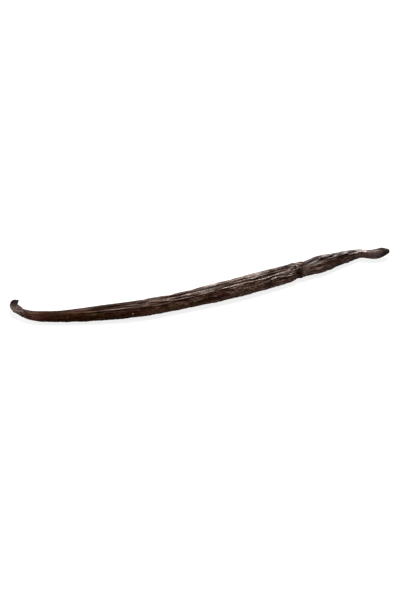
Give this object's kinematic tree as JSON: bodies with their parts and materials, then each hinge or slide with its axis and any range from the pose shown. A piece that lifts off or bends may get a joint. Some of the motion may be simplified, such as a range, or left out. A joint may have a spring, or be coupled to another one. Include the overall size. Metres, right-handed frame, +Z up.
{
  "type": "vanilla pod",
  "caption": "Slim dark cured vanilla pod with a hooked stem end, a long furrowed body pinched by a slanting fold, and a thin neck with a small bulb at the tip.",
  "frame": {"origin": "on the table, under the middle of the pod's bounding box", "axes": "+X from the stem end to the blossom end, +Z up; the hook and the tip bend towards +Y and the near side of the body faces -Y"},
  "size_m": [0.1584, 0.022, 0.007],
  "materials": {
    "skin": "oily satin"
  },
  "bodies": {
    "root": {"pod": "skin"}
  },
  "joints": []
}
